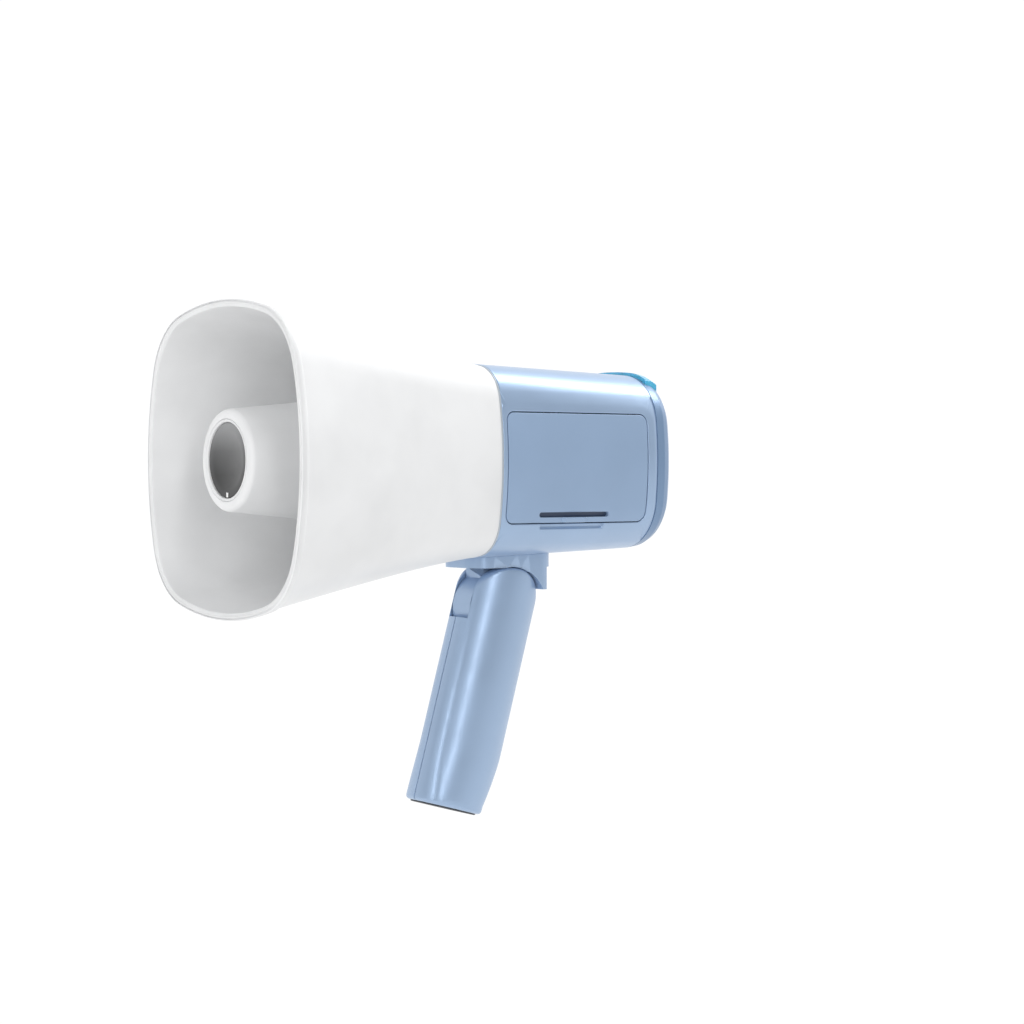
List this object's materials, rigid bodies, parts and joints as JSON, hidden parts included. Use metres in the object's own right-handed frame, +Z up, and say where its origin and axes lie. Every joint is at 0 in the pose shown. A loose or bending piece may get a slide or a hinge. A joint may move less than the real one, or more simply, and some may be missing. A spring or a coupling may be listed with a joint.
{
  "type": "handheld megaphone",
  "caption": "Compact handheld megaphone: flared rounded-square horn with a central reflector, tapered body, side battery cover, rear control panel and a folding pistol grip.",
  "frame": {"origin": "centre of the horn's mouth plane, on the horn's axis", "axes": "-Y out of the mouth, +Y towards the rear panel, +Z up, +X towards the battery cover"},
  "size_m": [0.1192, 0.1952, 0.2044],
  "materials": {
    "horn_white": "satin white ABS",
    "reflector_white": "satin white ABS",
    "disc_dark": "fine satin",
    "mark_white": "printed mark",
    "body_blue": "pearl satin blue",
    "cover_blue": "satin blue",
    "cap_blue": "satin blue",
    "seal_rubber": "matt",
    "end_dark": "matt",
    "key_cyan": "translucent",
    "key_grey": "fine satin",
    "steel": "plated",
    "nickel": "nickel plated",
    "ferrite": "ferrite",
    "film": "phenolic film",
    "copper": "enamelled winding",
    "inner_black": "plain",
    "terminal_green": "plain",
    "board_green": "solder mask",
    "cell_wrap": "shrink sleeve"
  },
  "bodies": {
    "housing": {"horn_bell": "horn_white", "reflector_cup": "reflector_white", "pod_bezel": "reflector_white", "throat_tube": "reflector_white", "pod_disc": "disc_dark", "pod_tick": "mark_white", "body_shell": "body_blue", "hinge_bracket": "body_blue", "rear_cap": "cap_blue", "seam_gasket": "seal_rubber", "driver_gasket": "seal_rubber", "status_lens": "key_cyan", "reflector_screws": "steel", "driver_screws": "steel", "board_screws": "steel", "control_screws": "steel", "cap_screws": "steel", "bracket_screws": "steel", "pivot_pin": "steel", "detent_ball": "steel", "detent_spring": "steel", "mic_grille": "steel", "charge_socket": "steel", "driver_back_plate": "steel", "driver_frame": "steel", "contact_plates": "nickel", "contact_springs": "nickel", "driver_magnet": "ferrite", "driver_diaphragm": "film", "voice_coil": "copper", "battery_tray": "inner_black", "amplifier_chip": "inner_black", "capacitors": "inner_black", "key_switches": "inner_black", "mode_switch_base": "inner_black", "volume_pot": "inner_black", "audio_socket": "inner_black", "mic_capsule": "inner_black", "terminal_block": "terminal_green", "main_board": "board_green", "control_board": "board_green", "battery_cell_lower": "cell_wrap", "battery_cell_upper": "cell_wrap"},
    "handle": {"handle_left": "body_blue", "handle_right": "body_blue", "handle_screws": "steel", "handle_end_cap": "end_dark"},
    "cover": {"battery_cover": "cover_blue"},
    "talk_key": {"talk_button": "key_cyan"},
    "siren_key": {"siren_button": "key_grey"},
    "record_key": {"record_button": "key_grey"},
    "mode_slider": {"mode_switch": "end_dark"},
    "volume": {"volume_knob": "end_dark", "volume_shaft": "steel"}
  },
  "joints": [
    {"name": "handle_fold", "type": "hinge", "parent": "housing", "child": "handle", "pos_m": [0, 0.1265, -0.0605], "axis": [-1, 0, 0], "range_deg": [0, 65]},
    {"name": "battery_cover_open", "type": "hinge", "parent": "housing", "child": "cover", "pos_m": [0.0353, 0.144, 0.0191], "axis": [0, -1, 0], "range_deg": [0, 70]},
    {"name": "volume_turn", "type": "hinge", "parent": "housing", "child": "volume", "pos_m": [-0.015, 0.19, -0.006], "axis": [0, 1, 0], "range_deg": [0, 280]},
    {"name": "mode_slide", "type": "slide", "parent": "housing", "child": "mode_slider", "axis": [1, 0, 0], "range_m": [0, 0.005]},
    {"name": "talk_press", "type": "slide", "parent": "housing", "child": "talk_key", "axis": [0, 0, -1], "range_m": [0, 0.0012], "stiffness_N_per_m": 900, "springref_m": -0.0006},
    {"name": "siren_press", "type": "slide", "parent": "housing", "child": "siren_key", "axis": [0, -1, 0], "range_m": [0, 0.001], "stiffness_N_per_m": 900, "springref_m": -0.0005},
    {"name": "record_press", "type": "slide", "parent": "housing", "child": "record_key", "axis": [0, -1, 0], "range_m": [0, 0.001], "stiffness_N_per_m": 900, "springref_m": -0.0005}
  ]
}
